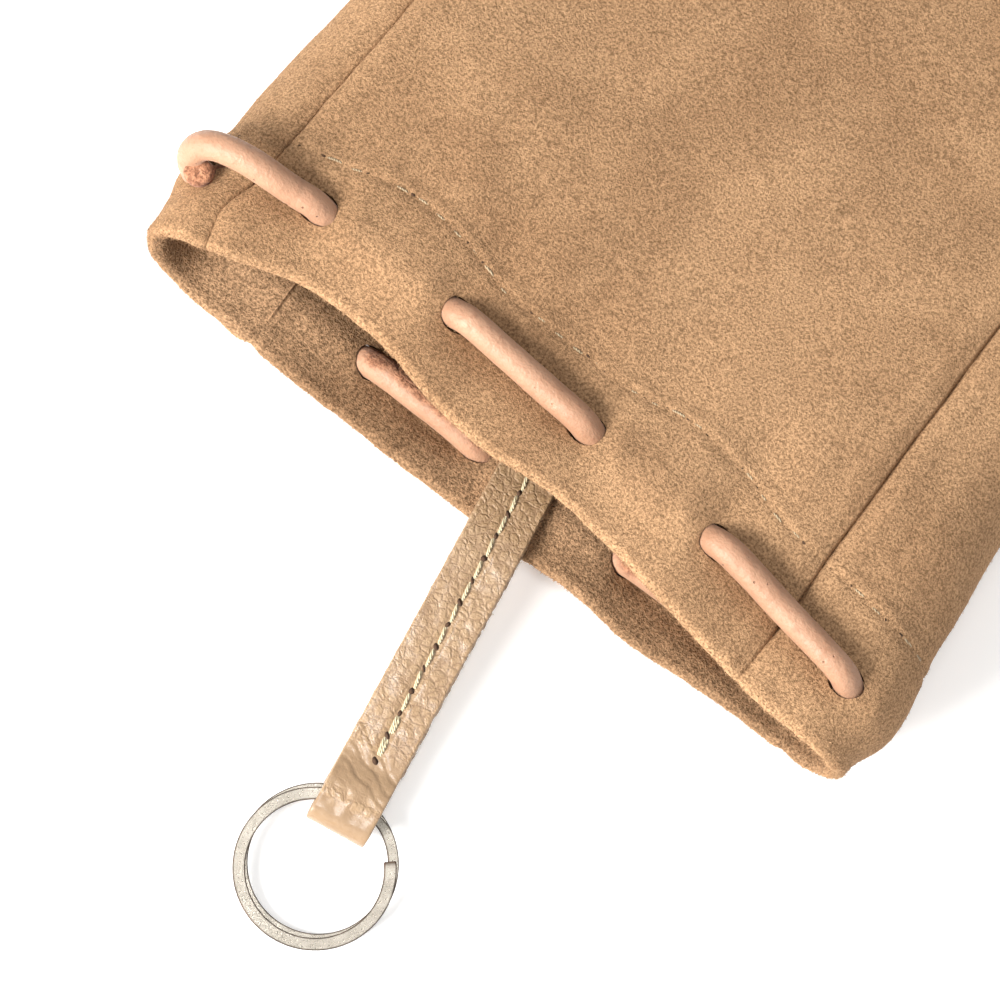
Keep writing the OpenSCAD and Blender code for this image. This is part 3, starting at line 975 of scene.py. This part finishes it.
def dent(part, sign):
    """The stitched channel and soft waves of the layer."""
    v, f, raw = part
    d = v - HINGE
    u = d @ WAY
    a = d @ SIDE
    _, n = strap_line(u)
    k = np.where(raw > 0.5, 0.0, 1.0)
    h = groove(a, u) * k + 0.10 * vnoise(v, 6.0, 31) * k + 0.05 * vnoise(v, 1.5, 32) * k
    h = h + creases(v, a, u) * k * (1.0 if sign > 0 else 0.4)
    return v + n * (sign * h)[:, None], f, raw


strap = finish_strap("strap_layers", [dent(upper, 1), dent(lower, -1)], ["key_strap_root", "key_strap"])

# the fold: the top layer runs on, round the ring's band, and back as the lower layer
far = STRAP_L - EYE - STRAP_T
line = []
for a in np.arange(FOLD_U - 0.35, FOLD_U + 5.6, 0.35):
    t = smooth((a - FOLD_U) / 5.6)
    line.append((a, STRAP_T + EYE * t))
for a in np.arange(FOLD_U + 5.9, far - 0.1, 0.35):
    line.append((a, STRAP_T + EYE))
bend = np.radians(np.arange(90, -91, -9))
for q in bend:
    line.append((far + (EYE + STRAP_T) * math.cos(q) * 0.92, (EYE + STRAP_T) * math.sin(q)))
line += [(a, -w) for a, w in reversed(line[: -len(bend)])]
line = np.array(line)
tn = np.gradient(line, axis=0)
tn /= np.linalg.norm(tn, axis=1, keepdims=True)
full = [(p[0], p[1], -t[1], t[0]) for p, t in zip(line, tn)]
full[0] = (*full[0][:2], 0.0, 1.0)
full[-1] = (*full[-1][:2], 0.0, -1.0)
fv, ff, fr = strip(full, 5.05, 5.05, 0.03, 3)
fd = fv - HINGE
_, fn_ = strap_line(np.minimum(fd @ WAY, STRAP_L - 2.5))
up_side = (fd * fn_).sum(-1) > 0.3
fh = creases(fv, fd @ SIDE, fd @ WAY) + 0.06 * vnoise(fv, 1.5, 33)
fh = fh * np.where(fr > 0.5, 0, 1) * up_side * smooth((STRAP_L - 1.6 - fd @ WAY) / 1.5)
fold = finish_strap("strap_fold", [(fv + fn_ * fh[:, None], ff, fr)], ["key_strap_fold"])


# ---------------- stitches
rng = np.random.default_rng(7)


def capsule(a, b, up, r, sag, sides, n, dip):
    """One stitch from a to b: it rises out of one needle hole and goes down the other."""
    a, b, up = (np.asarray(q, float) for q in (a, b, up))
    t = np.linspace(0, 1, n)
    lift = np.sin(np.pi * t) ** 0.6
    pts = a + (b - a) * t[:, None] + up * ((lift * (sag + dip)) - dip)[:, None]
    rad = r * np.clip(0.62 + 0.5 * np.sin(np.pi * t), 0.5, 1.0)
    return tube(pts, rad, sides)


def blob(c, a, b, up, depth):
    """A needle hole's painted shade: a small dark dish let into the surface."""
    n = 10
    t = np.arange(n) * 2 * math.pi / n
    top = c + np.cos(t)[:, None] * a + np.sin(t)[:, None] * b + up * 0.04
    bot = c + 0.5 * (np.cos(t)[:, None] * a + np.sin(t)[:, None] * b) - up * depth
    v = np.concatenate([top, bot])
    return v, grid_faces(2, n, wrap_cols=True) + [tuple(range(n))[::-1], tuple(range(n, 2 * n))]


def sewn(name, parts, mat, body=None, node=None):
    """Many small parts as one piece, which may stand for a CAD node."""
    ob = make(name, *join_parts(parts), mat, body)
    if node:
        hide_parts(node)
    return ob


def strap_stitch(u0, u1, v0, v1, side):
    w = side * (STRAP_T - 0.2)
    a, b = strap_point(u0, v0, w), strap_point(u1, v1, w)
    _, n = strap_line((u0 + u1) / 2)
    return capsule(a, b, n * side, 0.31, 0.22, 10, 9, 0.34)


parts, dots = [], []
pitch, first = 3.95, -21.0
ends = []
while first + len(ends) * pitch < FOLD_U - 3.6:
    ends.append(first + len(ends) * pitch)
for i, u in enumerate(ends):
    jog = 0.10 * math.sin(i * 2.1)
    for side in (1, -1):
        parts.append(strap_stitch(u + 0.3, u + pitch - 0.3, jog - 0.16, 0.20 - jog * 0.5, side))
        _, n = strap_line(u)
        c = strap_point(u, jog * 0.4, side * (STRAP_T - 0.14))
        long = WAY * 0.56 + SIDE * 0.24 * math.sin(i * 1.9)
        short = SIDE * (0.40 + 0.1 * math.sin(i * 3.3)) + WAY * 0.14
        dots.append(blob(c, long, short, n * side, 0.4))
last = ends[-1] + pitch
for side in (1, -1):
    _, n = strap_line(last)
    c = strap_point(last + 0.45, 0.2, side * (STRAP_T + 0.02))
    dots.append(blob(c, WAY * 0.62 + SIDE * 0.2, SIDE * 0.56, n * side, 0.4))
    for j in range(2):
        parts.append(strap_stitch(last - pitch * (j + 1) + 0.3, last - pitch * j - 0.3, 0.34, 0.52, side))
strap_thread = sewn("strap_thread", parts, THREAD, node="strap_stitching")
strap_dots = sewn("strap_needle_holes", dots, HOLE_SHADE)

r = np.random.default_rng(11)
m = 240
fu = r.uniform(-6, FOLD_U, m)
sg = np.where(r.uniform(size=m) < 0.72, 1.0, -1.0)
fb = strap_point(fu, np.where(sg > 0, 5.2, -4.95), r.uniform(-2.3, -1.3, m))
fg = sg[:, None] * SIDE + r.normal(size=(m, 3)) * 0.45
v, f = hairs(fb, fg, r.uniform(0.2, 0.75, m) * np.where(sg > 0, 1.0, 0.6), 0.035)
strap_fluff = make("strap_fluff", v, f, THREAD, smooth_faces=False)

parts = []
for y in (17.5, 22.0):
    for i in (-1.5, -0.5, 0.5, 1.5):
        a = strap_point(-y, 2.5 * i - 1.05, STRAP_T)
        b = strap_point(-y, 2.5 * i + 1.05, STRAP_T)
        parts.append(capsule(a, b, (0, 0, 1), 0.34, 0.2, 8, 7, 0.2))
sewn("anchor_thread", parts, THREAD, "pouch", "anchor_stitching")


def hem_line(s0, s1):
    parts, dots = [], []
    s = s0
    i = 0
    while s + 3.7 < s1:
        wob = 0.22 * math.sin(i * 1.7) + 0.12 * rng.uniform(-1, 1)
        a = surface(s + 0.45, STITCH_Y + wob, 0.0)
        b = surface(s + 3.25, STITCH_Y + wob + 0.1, 0.0)
        n = normal_at(s + 1.9, STITCH_Y)
        sink = 0.02 + 0.28 * rng.uniform(0, 1)
        parts.append(capsule(a - n * sink, b - n * sink, n, 0.19, 0.12, 8, 7, 0.3))
        t = tangent_at(s, STITCH_Y)
        c = surface(s, STITCH_Y + wob, 0.0)
        c = c - n * (0.08 - 0.12 * rng.uniform(0, 1))
        long = t * (0.26 + 0.2 * rng.uniform(0, 1))
        short = np.cross(n, t) * (0.16 + 0.2 * rng.uniform(0, 1))
        dots.append(blob(c, long, short, n, 0.3))
        s += 3.7
        i += 1
    return parts, dots


moving_hem = []
for nm, a, b, body, node in (
    ("front", SEAM_FL + 1.5, SEAM_FR, None, "front_hem_stitching"),
    ("back", SEAM_BR + 1.5, SEAM_BL, "pouch", "back_hem_stitching"),
    ("right", SEAM_FR + 1.3, SEAM_BR, None, None),
    ("left", SEAM_BL + 1.3, SEAM_FL + P0, None, None),
):
    parts, dots = hem_line(a, b - 0.6)
    pair = [
        sewn("hem_thread_" + nm, parts, HEM_THREAD, body, node),
        sewn("hem_needle_holes_" + nm, dots, HOLE_SHADE, body),
    ]
    if not body:
        moving_hem += pair


# ---------------- seams, base
def seam_run(name, s, y0, node):
    ys = np.arange(y0, LENGTH - 2.5, 3.2)
    parts = []
    for y in ys:
        a = surface(s, y, SKIN + 0.1)
        b = surface(s, y + 2.7, SKIN + 0.1)
        n = -normal_at(s, y + 1.3)
        parts.append(capsule(a, b, n, 0.3, 0.3, 6, 6, 0.15))
    sewn(name, parts, SEAM_THREAD, "pouch", node)


seam_run("seam_thread_front_left", SEAM_FL, 54.0, "front_left_seam")
seam_run("seam_thread_front_right", SEAM_FR, 54.0, "front_right_seam")
seam_run("seam_thread_back_left", SEAM_BL, 25.0, "back_left_seam")
seam_run("seam_thread_back_right", SEAM_BR, 25.0, "back_right_seam")

ss = np.arange(0, P0, 3.4)
parts = []
for s in ss:
    a = surface(s, LENGTH - 1.6, SKIN + 0.1)
    b = surface(s + 2.8, LENGTH - 1.6, SKIN + 0.1)
    parts.append(capsule(a, b, -normal_at(s + 1.4, LENGTH - 1.6), 0.3, 0.25, 6, 6, 0.1))
sewn("seam_thread_base", parts, SEAM_THREAD, "pouch", "base_seam")

# the base is a padded-looking plate, crowned a little outwards, its edge tucked into the walls
ring_s = np.linspace(0, P0, 145)[:-1]
edge = surface(ring_s, LENGTH - 1.0 + 0 * ring_s, SKIN - 0.5 + 0 * ring_s)
cen = np.array([0, LENGTH - 1.0, 14.0])
levels = [0.0, 0.03, 0.08, 0.16, 0.28, 0.42, 0.58, 0.74, 0.88]
verts, faces = [], []
for off in (0.0, -1.3):
    for t in levels:
        p = edge * (1 - t) + t * (cen + (edge - cen) * np.array([1, 1, 0]) * 0.9)
        crown = 0.9 * smooth(t / 0.3) + 0.25 * vnoise(p, 11, 51)
        q = p.copy()
        q[:, 1] = LENGTH - 1.4 + np.minimum(crown, 1.3) + off
        verts.append(q)
verts = np.concatenate(verts)
m, c = len(levels), len(ring_s)
faces = grid_faces(m, c, wrap_cols=True) + grid_faces(m, c, base=m * c, wrap_cols=True, flip=True)
faces += [(i, (i + 1) % c, m * c + (i + 1) % c, m * c + i)[::-1] for i in range(c)]
faces.append(tuple((m - 1) * c + i for i in range(c)))
faces.append(tuple((2 * m - 1) * c + i for i in range(c))[::-1])
base = make("base_plate", verts, faces, SUEDE, "pouch")
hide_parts("base_panel")


# ---------------- split ring
RO = 12.7  # the outside of a one inch ring, which gives the scale
RC = STRAP_L + 6.2  # its middle, along the strap from the hinge


def ring_point(r, a, w):
    """A point of the ring's plane: a is the angle from the strap's width axis towards the pouch."""
    u = RC - r * np.sin(a)
    return strap_point(u, r * np.cos(a), w)


# dark is how much painted shade each point of the wire's outline gets: full on the inner and outer sides,
# less where the corners meet the broad faces, none on the broad faces
prof, dark = [], []
hr, hw, rad = 0.97, 0.47, 0.20
for sx, sy, a0 in ((1, 1, 0), (-1, 1, 90), (-1, -1, 180), (1, -1, 270)):
    for a in (0, 22, 45, 68, 90):
        q = math.radians(a0 + a)
        prof.append((sx * (hr - rad) + rad * math.cos(q), sy * (hw - rad) + rad * math.sin(q)))
        dark.append(min(1.0, 0.35 + 1.4 * abs(math.cos(q))))
    # the broad faces are bare metal right up to a thin line of painted shade at their edges
    if sx == sy:
        prof += [(sx * (hr - rad - 0.07), sx * hw), (-sx * (hr - rad - 0.07), sx * hw)]
        dark += [0.0, 0.0]
prof = np.array(prof)
start, ramp0, ramp1, stop = 34.0, 300.0, 346.0, 704.0
turn = np.concatenate([
    [0.0, 0.4], np.arange(1.2, ramp0, 2.5), np.arange(ramp0, ramp1, 2.0), np.arange(ramp1, stop - 1, 2.5),
    [stop - 0.4, stop],
])
rows, edge_shades = [], []
for t in turn:
    a = math.radians(start - t)
    e = float(smooth((t - ramp0) / (ramp1 - ramp0)))
    w0 = 0.49 * (1 - 2 * e)
    mid = math.sin(math.pi * min(max((t - ramp0) / (ramp1 - ramp0), 0), 1))
    # the ends are filed a little round, and the wire narrows where it steps down
    k = 1 - 0.14 * math.exp(-t / 0.5) - 0.14 * math.exp(-(stop - t) / 0.5)
    rc = RO - hr - 0.02 + 0.05 * math.sin(math.radians(2 * t + 40))
    pr = prof[:, 0] * k * (1 - 0.12 * e - 0.15 * mid)
    pw = prof[:, 1] * k
    pts = ring_point(rc + pr, a, w0 + pw)
    # the lower coil sits a little nearer the pouch than the upper one
    pts = pts - WAY * 1.0 * e + SIDE * 0.12 * e
    rows.append(pts)
    # the cut ends get the painted shade too
    end = math.exp(-((t / 2.6) ** 2)) + math.exp(-(((stop - t) / 2.6) ** 2))
    edge_shades.append(np.clip(np.array(dark) * 0.9 + end, 0, 1))
rows = np.array(rows)
n, c = rows.shape[:2]
faces = grid_faces(n, c, wrap_cols=True) + [tuple(range(c))[::-1], tuple(range((n - 1) * c, n * c))]
ring = make("key_ring_coils", rows.reshape(-1, 3), faces, NICKEL, "ring")
outward(ring)
paint(ring, "edge", np.concatenate(edge_shades))
sharpen(ring, 50)
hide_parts("split_ring")


# ---------------- who rides on what
def world(p):
    return tuple(float(q) for q in put(p))


def follow_mouth(ob):
    """Bakes the piece's place into its mesh. The line from the back lip up to the hinge, and the way out of
    it, are worked out here, but nothing is bent by them."""
    low, high = np.array([0.0, 0.0, 7.0]), np.array([0.0, HINGE_Y, 30.0])
    along_line = high - low
    out = np.array([0.0, -along_line[2], along_line[1]]) / np.linalg.norm(along_line)
    middle = (low + high) / 2
    world(middle)
    world(middle + out * 18.0)
    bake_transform(ob)


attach(back, "pouch")
for ob in (front, left, right, cord, nap_front, nap_left, nap_right, *moving_hem):
    follow_mouth(ob)
for ob in (strap, strap_thread, strap_dots, strap_fluff):
    world(HINGE - WAY * 3.0)
    world(HINGE + WAY * 4.0)
    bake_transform(ob)
world(HINGE + WAY * (FOLD_U + 1))
world(HINGE + WAY * (STRAP_L - 0.5))
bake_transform(fold)


# ---------------- floor, light, camera
n = Nodes("pale_floor")
FLOOR = n.done(
    Base_Color=n.mix(n.noise(60, 2.0), (0.93, 0.93, 0.925), (0.95, 0.95, 0.945)),
    Roughness=0.9,
    Emission_Color=(1, 1, 1, 1),
    Emission_Strength=0.2,
)
me = bpy.data.meshes.new("floor")
me.from_pydata([(-3, -3, 0), (3, -3, 0), (3, 3, 0), (-3, 3, 0)], [], [(0, 1, 2, 3)])
floor = bpy.data.objects.new("floor", me)
floor.location.z = -0.0002
me.materials.append(FLOOR)
bpy.context.scene.collection.objects.link(floor)

# the camera looks down at the pouch, tilted a little to its mouth and turned in its own plane
TILT, TURN = math.radians(16), math.radians(37.81)
turn_c, turn_s = math.cos(TURN), math.sin(TURN)
right_v = Vector((turn_c, turn_s * math.cos(TILT), turn_s * math.sin(TILT))).normalized()
up_v = Vector((-turn_s, turn_c * math.cos(TILT), turn_c * math.sin(TILT))).normalized()
back_v = right_v.cross(up_v)
cam_data = bpy.data.cameras.new("camera")
cam_data.sensor_width = 36.0
cam_data.lens = 186.3
cam_data.clip_start, cam_data.clip_end = 0.05, 20
cam = bpy.data.objects.new("camera", cam_data)
bpy.context.scene.collection.objects.link(cam)
rot = Matrix((right_v, up_v, back_v)).transposed().to_4x4()
ring_c = Vector(world(ring_point(0.0, 0.0, 0.0)))
# the middle of the picture, in metres from the middle of the ring
target = ring_c + right_v * 0.0287 + up_v * 0.057
camera_away = 0.8
cam.matrix_world = Matrix.Translation(target + back_v * camera_away) @ rot
bpy.context.scene.camera = cam


def area(name, direction, dist, size, power, colour):
    """A square soft light, dist metres from the pouch's mouth."""
    l = bpy.data.lights.new(name, "AREA")
    l.shape = "SQUARE"
    l.size = size
    l.energy = power
    l.color = colour
    o = bpy.data.objects.new(name, l)
    bpy.context.scene.collection.objects.link(o)
    d = direction.normalized()
    o.location = Vector((0, -0.1, 0)) + d * dist
    o.rotation_euler = d.to_track_quat("Z", "Y").to_euler()


key_dir = -right_v * 0.95 - up_v * 0.45 + Vector((0, 0, 1)) * 0.85
glint_dir = right_v * 0.05 + up_v * 0.16 + back_v
fill_dir = right_v * 0.9 - up_v * 0.7 + Vector((0, 0, 1)) * 0.9
area("key", key_dir, 0.7, 0.34, 12.5, (1.0, 0.985, 0.965))
area("glint", glint_dir, 1.4, 0.24, 3.6, (1.0, 0.99, 0.98))
area("fill", fill_dir, 1.5, 1.4, 1.2, (0.96, 0.98, 1.0))
world_bg = bpy.data.worlds.new("studio")
bpy.context.scene.world = world_bg
world_bg.use_nodes = True
bg = world_bg.node_tree.nodes["Background"]
bg.inputs["Color"].default_value = (1.0, 1.0, 1.0, 1)
bg.inputs["Strength"].default_value = 0.64
bpy.context.scene.view_settings.view_transform = "Standard"
